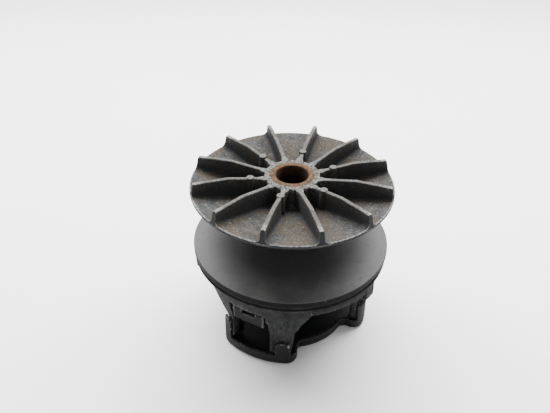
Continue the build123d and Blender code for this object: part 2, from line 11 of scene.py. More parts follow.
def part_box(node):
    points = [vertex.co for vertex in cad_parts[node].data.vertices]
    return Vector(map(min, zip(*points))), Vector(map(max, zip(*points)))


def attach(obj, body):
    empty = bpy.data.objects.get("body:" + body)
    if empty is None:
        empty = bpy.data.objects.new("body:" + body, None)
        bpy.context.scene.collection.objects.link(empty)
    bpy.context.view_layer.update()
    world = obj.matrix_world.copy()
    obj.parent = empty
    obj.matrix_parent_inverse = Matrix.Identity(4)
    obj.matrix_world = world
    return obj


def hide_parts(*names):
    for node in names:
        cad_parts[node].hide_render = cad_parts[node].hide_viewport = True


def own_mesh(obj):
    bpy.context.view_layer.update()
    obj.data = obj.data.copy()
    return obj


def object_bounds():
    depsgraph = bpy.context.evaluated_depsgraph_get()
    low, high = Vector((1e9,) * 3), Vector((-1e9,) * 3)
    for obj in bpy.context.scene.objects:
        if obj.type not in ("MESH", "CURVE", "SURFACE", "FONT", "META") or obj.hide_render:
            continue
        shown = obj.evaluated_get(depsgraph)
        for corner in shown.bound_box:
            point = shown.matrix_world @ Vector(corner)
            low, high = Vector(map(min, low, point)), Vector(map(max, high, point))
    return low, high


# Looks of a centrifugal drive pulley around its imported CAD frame. The castings are rebuilt with
# soft cast edges and fine turned faces, the shaft and the spring are drawn anew, and the small
# hardware keeps its CAD shape. Lengths are in millimetres until a mesh is made.

MM = 0.001
WELD_MM = 0.002

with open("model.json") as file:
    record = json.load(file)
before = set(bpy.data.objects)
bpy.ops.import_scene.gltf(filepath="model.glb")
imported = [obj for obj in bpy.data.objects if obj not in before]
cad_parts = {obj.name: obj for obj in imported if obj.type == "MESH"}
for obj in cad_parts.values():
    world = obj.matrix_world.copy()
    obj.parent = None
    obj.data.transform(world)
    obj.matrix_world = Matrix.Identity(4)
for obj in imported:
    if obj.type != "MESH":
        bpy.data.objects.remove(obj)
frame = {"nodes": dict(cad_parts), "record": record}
cad_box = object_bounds()
NODES = frame["nodes"]
SLOT_OF = {row["node"]: row["material_slot"] for row in frame["record"]["subparts"]}

# ---- driving dimensions, mm ----
SHEAVE_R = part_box("fixed_sheave")[1].x / MM
BELT_ANGLE = 11.0
BELT_SLOPE = math.tan(math.radians(BELT_ANGLE))

# fixed sheave
FIXED_RIM_Z = 167.0
FIXED_RIM_T = 3.3
FIXED_WEB_T_HUB = 5.0
HUB_R = 27.5
HUB_TOP = 179.3
HUB_ROUND = 1.2
HUB_DRAFT = 0.8
HUB_FILLET_R = 34.0
HUB_FILLET_STRETCH = 1.1
HEAD_R = 22.0
HEAD_RIM_R = 24.6
RIM_ROUND = 0.9
LIP_ROUND = 0.5
BELT_RADII = (24, 28, 34, 42, 52, 64, 76, 88, 96, 100)
WEB_RADII = (100.4, 100.1, 99.8, 99.4, 99.1, 98.95, 98.8, 98.55, 98.3, 97.8, 97.2, 96, 94.5, 93, 91, 89,
             86.5, 84, 80, 76, 72, 68, 65.5, 64.3, 62.5, 59, 55, 51, 47, 43, 40, 37.5, 35.5)

# its ribs and bosses: crest and end are (radius, height) lines, and a section's columns run from
# the rib's middle out to its foot
RIB_COUNT = 12
HALF_PITCH = math.pi / RIB_COUNT
RIB_AZIMUTH = 13.7
RIB_HALF_TOP = 2.05
RIB_HALF_FOOT = 2.4
RIB_CROWN, CROWN_MOST = 0.9, 0.4
FILLET_MOST = 0.62
FLAT_SHARE = 0.55
RIB_ROOM = 0.86
# painted shade down a rib's sides, by section column, heaviest where the side meets its foot fillet
RIB_SHADE = (0.0, 0.0, 0.0, 0.1, 0.3, 0.5, 0.7, 0.8, 0.8, 0.7, 0.5, 0.3, 0.1)
CREST_COLUMNS = 4
COLUMNS_BETWEEN = 7
RIB_CREST = ((25.0, 178.7), (64.0, 184.0), (101.5, 182.6))
RIB_END = ((97.6, 184.0), (98.3, 182.7), (98.8, 181.7), (99.1, 180.6), (100.9, 171.6), (101.45, 169.0))
FOOT_FILLET = 2.6
FOOT_FLARE = 2.6
FOOT_FLARE_FROM, FOOT_FLARE_TO = 88, 100.5
HUB_FLARE = 1.9
HUB_FLARE_FROM, HUB_FLARE_TO = 37, 28
BOSS_AZIMUTH = 43.7
BOSS_COUNT = 6
BOSS_R = 3.8
BOSS_PITCH_R = 42.3
BOSS_TOP = 182.2
BOSS_DRAFT = 0.35
BOSS_ROUND = 0.8
BOSS_SEGMENTS = 28
BOSS_MIDDLE_R = 0.01
BOSS_SINK = 1.0

# where the fixed sheave is worn or carries painted shade: wear and painted shade from 0 to 1, the rest
# in mm
RIM_WEAR, HUB_WEAR, END_WEAR, BOSS_WEAR = 0.9, 0.15, 0.9, 0.9
HUB_WORN_ROWS = 7
CREST_WEAR, CREST_LEAST = 0.55, 1.5
CREST_WEAR_FROM, CREST_WEAR_TO = 84, 96
RIM_WEAR_WIDTH = 1.3
END_WEAR_DEPTH = 0.8
BOSS_WEAR_DEPTH, BOSS_UNSHADED_DEPTH = 0.3, 1.0
# painted shade on the outer rim face, the cut rib ends and the boss sides
BAND_SHADE, END_SHADE, BOSS_SHADE = 0.9, 0.9, 0.75
BAND_WIDTH = 0.3
# painted shade on a rib grows with its height over this span, in mm
SHADE_FROM, SHADE_TO = 1.0, 5.0

# moving sheave
MOVING_RIM_Z = 102.8
MOVING_RIM_T = 6.8
GROOVE_R = 99.3
GROOVE_H = 4.0
SKIRT_R = 100.5
SKIRT_IN_R = 94.5
SKIRT_BOTTOM = 83.5
TOWER_FOOT_Z = 12.5
TOWER_FOOT_R = 83.5
TOWER_BEND_Z = 38.0
TOWER_TOP_R = 96.5
TOWER_TOP_Z = 95.0
TOWER_WALL = 5.0
BELT_INNER_R = 24.0
TURNED_INNER_R = 24.5

# cover and spider
COVER_BORE_R = 17.0
COVER_HUB_R = 21.5
COVER_HUB_TOP = 23.0
COVER_LOBE_R = 87.5
COVER_LOBE_TOP = 37.0
COVER_WAIST_R = 65.5
COVER_LIP_Z = 12.5
COVER_BORE_LOW, COVER_SNAP_LOW = 1.0, 4.0
SPIDER_BORE_R = 17.0
SPIDER_HUB_R = 31.0
SPIDER_LOW, SPIDER_HIGH = 62.0, 86.0

# post
POST_R = 20.0
POST_SEAT_R = 17.0
POST_SPIGOT_R = 14.0
POST_SEAT_TOP = 86.8
POST_SEAT_LOW = 55.0
POST_ROUND = 0.7
POST_SEGMENTS = 180
MOUTH_R = 16.9
TAPER_R, TAPER_DROP = 16.1, 1.2
TAPER_END_R, TAPER_END_DROP = 12.7, 68
BOLT_R, BOLT_DROP = 7.2, 72
SOCKET_R, SOCKET_DEPTH = 10.5, 20

# spring
SPRING_R = 26.6
SPRING_WIRE_R = 2.4
SPRING_TURNS = 5.0
CLOSED_TURNS = 0.9
CLOSED_PITCH = 0.42
SPRING_STEPS, SPRING_AROUND = 64, 14

CORNER_SHARE = 0.45
SMOOTHING = (0.5, -0.52)
SNAP_REACH = 0.45
SNAP_MARGIN, SNAP_FADE = 0.5, 0.9
EDGE_PASSES = 3
EDGE_START, EDGE_FULL = 0.02, 0.07
CAST_SHARP, TURNED_SHARP = 50.0, 40.0
TURNED_DEPTH, TURNED_FADE = 0.6, 0.3


# ---- mesh helpers ----
def float_attribute(mesh, name, values):
    """Stores one number per vertex, for the materials to read."""
    layer = mesh.attributes.new(name, "FLOAT", "POINT")
    layer.data.foreach_set("value", np.asarray(values, np.float32))


def mesh_from(name, points_mm, faces, sharp_angle, marks=None):
    """Smooth-shaded mesh in metres, with edges over an angle kept sharp.

    Marks are named lists of one number per point, for the materials to read."""
    mesh = bpy.data.meshes.new(name)
    mesh.from_pydata([(x * MM, y * MM, z * MM) for x, y, z in points_mm], [], faces)
    for mark, values in (marks or {}).items():
        float_attribute(mesh, mark, values)
    build = bmesh.new()
    build.from_mesh(mesh)
    bmesh.ops.remove_doubles(build, verts=build.verts, dist=WELD_MM * MM)
    bmesh.ops.recalc_face_normals(build, faces=build.faces)
    for face in build.faces:
        face.smooth = True
    for edge in build.edges:
        edge.smooth = edge.calc_face_angle(0.0) < math.radians(sharp_angle)
    build.to_mesh(mesh)
    build.free()
    return mesh


def grid_faces(rows, columns, closed=True):
    """Quads between rows of points, each a ring; a closed grid's last row meets its first."""
    faces = []
    for i in range(rows if closed else rows - 1):
        here, after = i * columns, (i + 1) % rows * columns
        for j in range(columns):
            k = (j + 1) % columns
            faces.append((here + j, here + k, after + k, after + j))
    return faces


def arc(*turns):
    """(sine, cosine) at each angle in degrees, for the rounded corners of an outline."""
    return [(math.sin(math.radians(turn)), math.cos(math.radians(turn))) for turn in turns]


def rounded(profile, radius, steps=4):
    """Closed (radius, height) profile with its corners turned into short arcs."""
    made = []
    count = len(profile)
    for i, corner in enumerate(profile):
        here = Vector(corner)
        before = Vector(profile[i - 1]) - here
        after = Vector(profile[(i + 1) % count]) - here
        reach = min(radius, before.length * CORNER_SHARE, after.length * CORNER_SHARE)
        start = here + before.normalized() * reach
        end = here + after.normalized() * reach
        for step in range(steps + 1):
            t = step / steps
            point = start * (1 - t) ** 2 + here * 2 * t * (1 - t) + end * t ** 2
            made.append((point.x, point.y))
    return made


def lathe_mesh(name, profile, segments):
    """Solid of revolution about Z from a closed profile in mm."""
    turns = [2 * math.pi * i / segments for i in range(segments)]
    points = [(r * math.cos(turn), r * math.sin(turn), z) for turn in turns for r, z in profile]
    return mesh_from(name, points, grid_faces(segments, len(profile)), TURNED_SHARP)


def vertex_vectors(mesh, field):
    """One row per vertex of its place ("co") or of its "normal"."""
    flat = np.zeros(len(mesh.vertices) * 3, np.float32)
    mesh.vertices.foreach_get(field, flat)
    return flat.reshape(-1, 3).astype(float)


def neighbour_mean(values, edges, degree):
    """Mean of each vertex's neighbours, for an array of numbers or of vectors."""
    total = np.zeros_like(values)
    columns = values.reshape(len(values), -1)
    flat_total = total.reshape(len(values), -1)
    for c in range(columns.shape[1]):
        flat_total[:, c] = np.bincount(edges[:, 0], columns[edges[:, 1], c], len(values))
        flat_total[:, c] += np.bincount(edges[:, 1], columns[edges[:, 0], c], len(values))
    return (flat_total / degree[:, None]).reshape(values.shape)


def mesh_edges(mesh):
    """Vertex pairs of the edges, and how many edges meet at each vertex."""
    flat = np.zeros(len(mesh.edges) * 2, np.int64)
    mesh.edges.foreach_get("vertices", flat)
    edges = flat.reshape(-1, 2)
    degree = np.bincount(edges.ravel(), minlength=len(mesh.vertices)).astype(float)
    return edges, np.maximum(degree, 1)


def smoothed(points, edges, degree, passes):
    """Taubin smoothing: rounds the corners of a casting without shrinking it."""
    for _ in range(passes):
        for share in SMOOTHING:
            points = points + share * (neighbour_mean(points, edges, degree) - points)
    return points


def snapped(points_mm, surfaces):
    """Pulls the vertices near a turned surface onto it.

    A surface is a straight line of (radius, height) ends, turned about Z."""
    radius = np.hypot(points_mm[:, 0], points_mm[:, 1])
    flat = np.stack([radius, points_mm[:, 2]], 1)
    for start, end in surfaces:
        a, b = np.array(start), np.array(end)
        length = np.linalg.norm(b - a)
        along = (b - a) / length
        run = (flat - a) @ along
        foot = a + run[:, None] * along
        gap = np.linalg.norm(flat - foot, axis=1)
        inside = np.minimum(run, length - run)
        weight = np.clip((inside - SNAP_MARGIN) / SNAP_FADE, 0, 1) * (gap < SNAP_REACH)
        flat = flat + weight[:, None] * (foot - flat)
    scale = flat[:, 0] / np.maximum(radius, 1e-6)
    return np.stack([points_mm[:, 0] * scale, points_mm[:, 1] * scale, flat[:, 1]], 1)


def edge_wear(mesh, points, edges, degree):
    """0 on flats to 1 on outside corners, for each vertex of an evenly spaced mesh."""
    normals = vertex_vectors(mesh, "normal")
    bulge = ((points - neighbour_mean(points, edges, degree)) * normals).sum(1)
    for _ in range(EDGE_PASSES):
        bulge = neighbour_mean(bulge, edges, degree)
    return np.clip((bulge - EDGE_START) / (EDGE_FULL - EDGE_START), 0, 1)


def place_vertices(mesh, points_mm):
    """Moves a mesh's vertices to new places."""
    mesh.vertices.foreach_set("co", (points_mm * MM).astype(np.float32).ravel())
    mesh.update()


def evaluated_mesh(thing):
    """The object's mesh with its modifiers applied, as a mesh of its own."""
    graph = bpy.context.evaluated_depsgraph_get()
    return bpy.data.meshes.new_from_object(thing.evaluated_get(graph))


def cast_mesh(name, node, voxel, passes, most_faces, surfaces):
    """A casting's skin: the CAD node refined, its edges softened, its turned faces made true."""
    source = bpy.data.objects.new(name + "_source", NODES[node].data.copy())
    bpy.context.scene.collection.objects.link(source)
    remesh = source.modifiers.new("skin", "REMESH")
    remesh.mode = "VOXEL"
    remesh.voxel_size = voxel * MM * 1.0
    mesh = evaluated_mesh(source)
    source.modifiers.remove(remesh)
    edges, degree = mesh_edges(mesh)
    points = smoothed(vertex_vectors(mesh, "co") / MM, edges, degree, passes)
    points = snapped(points, surfaces)
    place_vertices(mesh, points)
    wear = edge_wear(mesh, points, edges, degree)
    source.data = mesh
    faces = 2 * len(mesh.polygons)
    if faces > most_faces:
        thin = source.modifiers.new("thin", "DECIMATE")
        thin.ratio = most_faces / faces
        mesh = evaluated_mesh(source)
        lookup = KDTree(len(points))
        for index, point in enumerate(points):
            lookup.insert(point, index)
        lookup.balance()
        points = snapped(vertex_vectors(mesh, "co") / MM, surfaces)
        wear = wear[[lookup.find(point)[1] for point in points]]
        place_vertices(mesh, points)
    bpy.data.objects.remove(source)
    mesh.name = name
    mesh.shade_smooth()
    mesh.materials.clear()
    float_attribute(mesh, "edge", wear)
    return mesh


# ---- fixed sheave ----
def belt_z_fixed(r):
    """Height of the upper belt face at a radius."""
    return FIXED_RIM_Z - (SHEAVE_R - r) * BELT_SLOPE


def belt_z_moving(r):
    """Height of the lower belt face at a radius."""
    return MOVING_RIM_Z + (SHEAVE_R - r) * BELT_SLOPE


def web_top(r):
    """Height of the fixed sheave's upper side between its ribs, which is thicker at the hub."""
    share = (SHEAVE_R - r) / (SHEAVE_R - HUB_R)
    return belt_z_fixed(r) + FIXED_RIM_T + share * (FIXED_WEB_T_HUB - FIXED_RIM_T)


def on_line(line, r):
    """Height at a radius on a line of (radius, height) points."""
    xs, zs = zip(*line)
    return float(np.interp(r, xs, zs))


def smoothstep(value, low, high):
    """0 at low to 1 at high, level at both ends; high may be the smaller number."""
    t = min(max((value - low) / (high - low), 0.0), 1.0)
    return t * t * (3 - 2 * t)


def rib_half_section(r, height):
    """(sideways, height) points from a rib's middle out to its foot, for its height there."""
    fillet = FOOT_FILLET + FOOT_FLARE * smoothstep(r, FOOT_FLARE_FROM, FOOT_FLARE_TO)
    crown = min(RIB_CROWN, CROWN_MOST * height)
    rise = min(fillet, FILLET_MOST * height)
    root = HUB_FLARE * smoothstep(r, HUB_FLARE_FROM, HUB_FLARE_TO) ** 2
    half = RIB_HALF_TOP + root
    half_foot = RIB_HALF_FOOT + root
    drop = height - crown
    section = [(0.0, height), (half * FLAT_SHARE, height)]
    section += [(half - crown * (1 - sine), height - crown * (1 - cosine))
                for sine, cosine in arc(30, 60, 90)]
    section += [(half + (half_foot - half) * t, drop + (rise - drop) * t) for t in (0.35, 0.7)]
    section += [(half_foot + fillet * (1 - cosine), rise * (1 - sine))
                for sine, cosine in arc(0, 22, 42, 60, 76, 90)]
    squeeze = min(1.0, RIB_ROOM * r * math.tan(HALF_PITCH) / section[-1][0])
    return [(side * squeeze, high) for side, high in section]


def sheave_profile():
    """Closed profile of the casting between its ribs, as its belt face, its rim and its top."""
    belt_face = [(r, belt_z_fixed(r)) for r in (HEAD_R, *BELT_RADII)]
    belt_face.append((SHEAVE_R - LIP_ROUND, FIXED_RIM_Z))
    rim_top = web_top(SHEAVE_R)
    rim = [(SHEAVE_R - LIP_ROUND * (1 - sine), FIXED_RIM_Z + LIP_ROUND * (1 - cosine))
           for sine, cosine in arc(30, 60, 90)]
    rim.append((SHEAVE_R, rim_top - RIM_ROUND))
    top = [(SHEAVE_R - RIM_ROUND * (1 - cosine), rim_top - RIM_ROUND * (1 - sine))
           for sine, cosine in arc(22, 45, 68, 90)]
    top += [(r, web_top(r)) for r in WEB_RADII]
    reach = HUB_FILLET_R - (HUB_R + HUB_DRAFT)
    rise = reach * HUB_FILLET_STRETCH
    top += [(HUB_FILLET_R - reach * sine, web_top(HUB_FILLET_R) + rise * (1 - cosine))
            for sine, cosine in arc(0, 18, 36, 54, 72, 90)]
    foot_r, foot_z = top[-1]
    wall_top = HUB_TOP - HUB_ROUND
    top += [(foot_r + (HUB_R - foot_r) * t, foot_z + (wall_top - foot_z) * t)
            for t in (0.3, 0.6, 0.85, 1.0)]
    top += [(HUB_R - HUB_ROUND * (1 - cosine), wall_top + HUB_ROUND * sine)
            for sine, cosine in arc(30, 60, 90)]
    top += [(HEAD_RIM_R, HUB_TOP), (HEAD_R, HUB_TOP)]
    return belt_face, rim, top


def sheave_half_row(r, z, height, wear, painted_shade):
    """(angle, height, wear, painted shade) from the middle of a rib to the middle of the bay beside it.
    """
    end = on_line(RIB_END, r)
    crest = CREST_WEAR + (1 - CREST_WEAR) * smoothstep(r, CREST_WEAR_FROM, CREST_WEAR_TO)
    row = []
    for column, (side, rise) in enumerate(rib_half_section(r, height)):
        on_crest = height > CREST_LEAST and column < CREST_COLUMNS
        here = z + rise
        worn = max(crest, wear) if on_crest else wear
        # painted shade down the rib's side, more on taller ribs
        rib_shade = RIB_SHADE[column] * smoothstep(height, SHADE_FROM, SHADE_TO)
        if r > RIB_END[0][0] and here > end:
            worn = END_WEAR * max(0.0, 1 - (here - end) / END_WEAR_DEPTH)
            # painted shade over the cut rib's end face
            rib_shade = END_SHADE
            here = max(end, z)
        row.append((math.asin(side / r), here, worn, max(rib_shade, painted_shade)))
    foot = row[-1][0]
    for step in range(1, COLUMNS_BETWEEN + 1):
        row.append((foot + (HALF_PITCH - foot) * step / COLUMNS_BETWEEN, z, wear, painted_shade))
    return row


def sheave_ring(r, half_row, turned):
    """(x, y, z, wear, painted shade, turned) all the way round, from a half row and its mirror image.
    """
    pitch = [(-angle, *rest) for angle, *rest in reversed(half_row[1:-1])] + half_row
    ring = []
    for rib in range(RIB_COUNT):
        centre = math.radians(RIB_AZIMUTH) + rib * 2 * HALF_PITCH
        for angle, *rest in pitch:
            ring.append((r * math.cos(centre + angle), r * math.sin(centre + angle), *rest, turned))
    return ring


def boss_points(turn):
    """(x, y, z, wear, painted shade, turned) of one of the short round bosses on every second rib."""
    low = web_top(BOSS_PITCH_R) - BOSS_SINK
    outline = [(BOSS_MIDDLE_R, low), (BOSS_R + BOSS_DRAFT, low), (BOSS_R, BOSS_TOP),
               (BOSS_MIDDLE_R, BOSS_TOP)]
    cx, cy = BOSS_PITCH_R * math.cos(turn), BOSS_PITCH_R * math.sin(turn)
    points = []
    for s in range(BOSS_SEGMENTS):
        a = 2 * math.pi * s / BOSS_SEGMENTS
        for r, z in rounded(outline, BOSS_ROUND):
            wear = BOSS_WEAR if z > BOSS_TOP - BOSS_WEAR_DEPTH else 0.0
            # painted shade on the boss's sides below its top
            painted_shade = BOSS_SHADE if z <= BOSS_TOP - BOSS_UNSHADED_DEPTH else 0.0
            points.append((cx + r * math.cos(a), cy + r * math.sin(a), z, wear, painted_shade, 0.0))
    return points


def fixed_sheave_mesh():
    """One closed skin of polar rows, with the columns gathered along each rib, and the bosses."""
    belt_face, rim, top = sheave_profile()
    rows = belt_face + rim + top
    table = []
    for index, (r, z) in enumerate(rows):
        on_belt_face = index < len(belt_face)
        on_top = index >= len(belt_face) + len(rim)
        on_hub = index >= len(rows) - HUB_WORN_ROWS
        height = max(0.0, on_line(RIB_CREST, r) - max(z, web_top(r))) if on_top else 0.0
        wear = HUB_WEAR if on_hub else 0.0
        if on_top and r > SHEAVE_R - RIM_WEAR_WIDTH:
            wear = RIM_WEAR
        # painted shade on the outer rim face
        on_band = not on_belt_face and r > SHEAVE_R - BAND_WIDTH
        painted_shade = BAND_SHADE if on_band else 0.0
        table += sheave_ring(r, sheave_half_row(r, z, height, wear, painted_shade), float(on_belt_face))
    faces = grid_faces(len(rows), len(table) // len(rows))
    for i in range(BOSS_COUNT):
        boss = boss_points(math.radians(BOSS_AZIMUTH + i * 360 / BOSS_COUNT))
        ring_faces = grid_faces(BOSS_SEGMENTS, len(boss) // BOSS_SEGMENTS)
        faces += [tuple(len(table) + corner for corner in face) for face in ring_faces]
        table += boss
    xs, ys, zs, edge, painted_shade, turned = zip(*table)
    marks = {"edge": edge, "painted_shade": painted_shade, "turned": turned}
    return mesh_from("fixed_sheave_casting", zip(xs, ys, zs), faces, CAST_SHARP, marks)


# ---- other castings ----
def moving_sheave_mesh():
    """Skin of the moving sheave, marked where its belt face is turned."""
    groove_top = MOVING_RIM_Z - MOVING_RIM_T
    groove_bottom = groove_top - GROOVE_H
    surfaces = [
        ((BELT_INNER_R, belt_z_moving(BELT_INNER_R)), (SHEAVE_R, MOVING_RIM_Z)),
        ((SHEAVE_R, MOVING_RIM_Z), (SHEAVE_R, groove_top)),
        ((GROOVE_R, groove_top), (GROOVE_R, groove_bottom)),
        ((SKIRT_R, groove_bottom), (SKIRT_R, SKIRT_BOTTOM)),
        ((SKIRT_IN_R, groove_bottom), (SKIRT_IN_R, SKIRT_BOTTOM)),
        ((TOWER_FOOT_R, TOWER_FOOT_Z), (TOWER_FOOT_R, TOWER_BEND_Z)),
        ((TOWER_FOOT_R, TOWER_BEND_Z), (TOWER_TOP_R, TOWER_TOP_Z)),
        ((TOWER_FOOT_R - TOWER_WALL, TOWER_FOOT_Z), (TOWER_FOOT_R - TOWER_WALL, TOWER_BEND_Z)),
        ((TOWER_FOOT_R - TOWER_WALL, TOWER_BEND_Z), (TOWER_TOP_R - TOWER_WALL, TOWER_TOP_Z)),
    ]
    mesh = cast_mesh("moving_sheave_casting", "moving_sheave", voxel=0.75, passes=3,
                     most_faces=180_000, surfaces=surfaces)
    places = vertex_vectors(mesh, "co") / MM
    radii = np.hypot(places[:, 0], places[:, 1])
    above = places[:, 2] - belt_z_moving(radii)
    turned = np.clip((above + TURNED_DEPTH) / TURNED_FADE, 0, 1) * (radii > TURNED_INNER_R)
    float_attribute(mesh, "turned", turned)
    return mesh


def cover_mesh():
    """Skin of the cover."""
    surfaces = [
        ((COVER_BORE_R, COVER_BORE_LOW), (COVER_BORE_R, COVER_HUB_TOP)),
        ((COVER_HUB_R, COVER_SNAP_LOW), (COVER_HUB_R, COVER_HUB_TOP)),
        ((COVER_LOBE_R, COVER_SNAP_LOW), (COVER_LOBE_R, COVER_LOBE_TOP)),
        ((COVER_WAIST_R, COVER_SNAP_LOW), (COVER_WAIST_R, COVER_LIP_Z)),
    ]
    return cast_mesh("cover_casting", "cover", voxel=0.75, passes=5, most_faces=120_000,
                     surfaces=surfaces)


def spider_mesh():
    """Skin of the spider."""
    surfaces = [((r, SPIDER_LOW), (r, SPIDER_HIGH)) for r in (SPIDER_BORE_R, SPIDER_HUB_R)]
    return cast_mesh("spider_casting", "spider", voxel=0.8, passes=4, most_faces=80_000,
                     surfaces=surfaces)


# ---- shaft and spring ----
def post_mesh():
    """Hollow shaft: spigot, thread seat, bearing length and head, with the taper and bolt bores."""
    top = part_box("post")[1].z / MM
    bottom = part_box("post")[0].z / MM
    shoulder = belt_z_fixed(HEAD_R)
    outline = [
        (SOCKET_R, bottom), (POST_SPIGOT_R, bottom), (POST_SPIGOT_R, POST_SEAT_LOW),
        (POST_SEAT_R, POST_SEAT_LOW), (POST_SEAT_R, POST_SEAT_TOP), (POST_R, POST_SEAT_TOP),
        (POST_R, shoulder), (HEAD_R, shoulder), (HEAD_R, top), (MOUTH_R, top),
        (TAPER_R, top - TAPER_DROP), (TAPER_END_R, top - TAPER_END_DROP), (BOLT_R, top - BOLT_DROP),
        (BOLT_R, bottom + SOCKET_DEPTH), (SOCKET_R, bottom + SOCKET_DEPTH),
    ]
    return lathe_mesh("shaft_post", rounded(outline, POST_ROUND, 3), POST_SEGMENTS)


def spring_mesh():
    """Round wire on a helix, its end turns closed and ground flat."""
    low, high = (corner.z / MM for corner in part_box("drive_spring"))
    last = int((SPRING_TURNS + 2 * CLOSED_TURNS) * SPRING_STEPS)
    end_pitch = CLOSED_PITCH * SPRING_WIRE_R
    pitch = (high - low - 2 * end_pitch * (1 + CLOSED_TURNS)) / SPRING_TURNS
    points = []
    for i in range(last + 1):
        turn = i / SPRING_STEPS
        open_turns = min(max(turn - CLOSED_TURNS, 0.0), SPRING_TURNS)
        middle = low + end_pitch * (1 + turn - open_turns) + pitch * open_turns
        angle = 2 * math.pi * turn
        for j in range(SPRING_AROUND):
            a = 2 * math.pi * j / SPRING_AROUND
            r = SPRING_R + SPRING_WIRE_R * math.cos(a)
            z = min(max(middle + SPRING_WIRE_R * math.sin(a), low), high)
            points.append((r * math.cos(angle), r * math.sin(angle), z))
    faces = grid_faces(last + 1, SPRING_AROUND, closed=False)
    faces.append(tuple(range(SPRING_AROUND)))
    faces.append(tuple(last * SPRING_AROUND + j for j in reversed(range(SPRING_AROUND))))
    return mesh_from("drive_spring_wire", points, faces, CAST_SHARP)


# ---- materials ----
# Noise sizes and places are in mm, and colours are linear.
BARE_METAL = (0.30, 0.30, 0.29)
PLAIN_METALLIC = 0.85


def add_node(tree, kind, inputs=None, **settings):
    """Adds a shader node; an input is a number, a colour or another node's output."""
    made = tree.nodes.new(kind)
    for key, value in settings.items():
        setattr(made, key, value)
    for key, value in (inputs or {}).items():
        if isinstance(value, bpy.types.NodeSocket):
            tree.links.new(value, made.inputs[key])
        else:
            made.inputs[key].default_value = value
    return made


class Surface:
    """A material under construction, with short names for the nodes it needs."""

    def __init__(self, name, metallic, specular=0.5):
        self.material = bpy.data.materials.new(name)
        self.material.use_nodes = True
        self.tree = self.material.node_tree
        self.shader = self.tree.nodes["Principled BSDF"]
        self.shader.inputs["Metallic"].default_value = metallic
        self.shader.inputs["Specular IOR Level"].default_value = specular
        self.coords = add_node(self.tree, "ShaderNodeTexCoord").outputs["Object"]

    def noise(self, size_mm, detail=3.0, rough=0.55, where=None):
        inputs = {"Vector": where or self.coords, "Scale": 1 / (size_mm * MM), "Detail": detail,
                  "Roughness": rough}
        return add_node(self.tree, "ShaderNodeTexNoise", inputs).outputs["Fac"]

    def ramp(self, value, low, high, start=0.0, end=1.0):
        inputs = {"Value": value, "From Min": low, "From Max": high, "To Min": start, "To Max": end}
        return add_node(self.tree, "ShaderNodeMapRange", inputs).outputs["Result"]

    def across(self, place, low_mm, high_mm, start=0.0, end=1.0):
        """Ramp over a stretch of radius or height."""
        return self.ramp(place, low_mm * MM, high_mm * MM, start, end)

    def maths(self, operation, a, b=0.0):
        made = add_node(self.tree, "ShaderNodeMath", operation=operation)
        for slot, value in enumerate((a, b)):
            if isinstance(value, bpy.types.NodeSocket):
                self.tree.links.new(value, made.inputs[slot])
            else:
                made.inputs[slot].default_value = value
        return made.outputs[0]

    def times(self, a, b):
        return self.maths("MULTIPLY", a, b)

    def mixed(self, share, a, b):
        """Mix of two colours, given as sockets or as (r, g, b)."""
        made = add_node(self.tree, "ShaderNodeMix", data_type="RGBA")
        self.tree.links.new(share, made.inputs[0])
        for slot, value in ((6, a), (7, b)):
            if isinstance(value, bpy.types.NodeSocket):
                self.tree.links.new(value, made.inputs[slot])
            else:
                made.inputs[slot].default_value = (*value, 1.0)
        return made.outputs[2]

    def mixed_numbers(self, share, a, b):
        inputs = {0: share, 2: a, 3: b}
        return add_node(self.tree, "ShaderNodeMix", inputs, data_type="FLOAT").outputs[0]

    def attribute(self, name):
        return add_node(self.tree, "ShaderNodeAttribute", attribute_name=name).outputs["Fac"]

    def place(self):
        """(distance from the shaft, height), both in metres."""
        split = add_node(self.tree, "ShaderNodeSeparateXYZ", {"Vector": self.coords}).outputs
        x, y, z = (split[axis] for axis in "XYZ")
        squares = self.maths("ADD", self.times(x, x), self.times(y, y))
        return self.maths("SQRT", squares), z

    def bump(self, height, depth_mm):
        inputs = {"Height": height, "Distance": depth_mm * MM, "Strength": 1.0}
        return add_node(self.tree, "ShaderNodeBump", inputs).outputs["Normal"]

    def finish(self, colour, roughness=None, normal=None, metallic=None):
        links = {"Base Color": colour, "Roughness": roughness, "Normal": normal, "Metallic": metallic}
        for socket, value in links.items():
            if value is not None:
                self.tree.links.new(value, self.shader.inputs[socket])
        return self.material


def rust_colour(look):
    """Tan and brown rust with orange patches."""
    patch = look.ramp(look.noise(6.0, 4), 0.50, 0.62)
    fine = look.ramp(look.noise(2.2, 3), 0.44, 0.58)
    base = look.mixed(fine, (0.036, 0.019, 0.010), (0.090, 0.056, 0.029))
    return look.mixed(look.times(patch, 0.7), base, (0.105, 0.040, 0.013))


def turned_lines(look, radius, turned):
    """Fine rings of a lathe tool, felt only where the face is turned."""
    rings = add_node(look.tree, "ShaderNodeCombineXYZ", {"X": radius}).outputs["Vector"]
    return look.times(look.noise(0.25, 2, 0.6, rings), look.ramp(turned, 0, 1, 0.0, 0.06))


def turned_face(look, dark, light):
    """Smudged satin grey of a belt face, with a few dark spots."""
    smudge = look.ramp(look.noise(30.0, 4, 0.55), 0.30, 0.70)
    face = look.mixed(smudge, dark, light)
    spots = look.ramp(look.noise(3.4, 2, 0.4), 0.68, 0.73)
    return look.mixed(look.times(spots, 0.4), face, tuple(0.45 * c for c in dark)), smudge


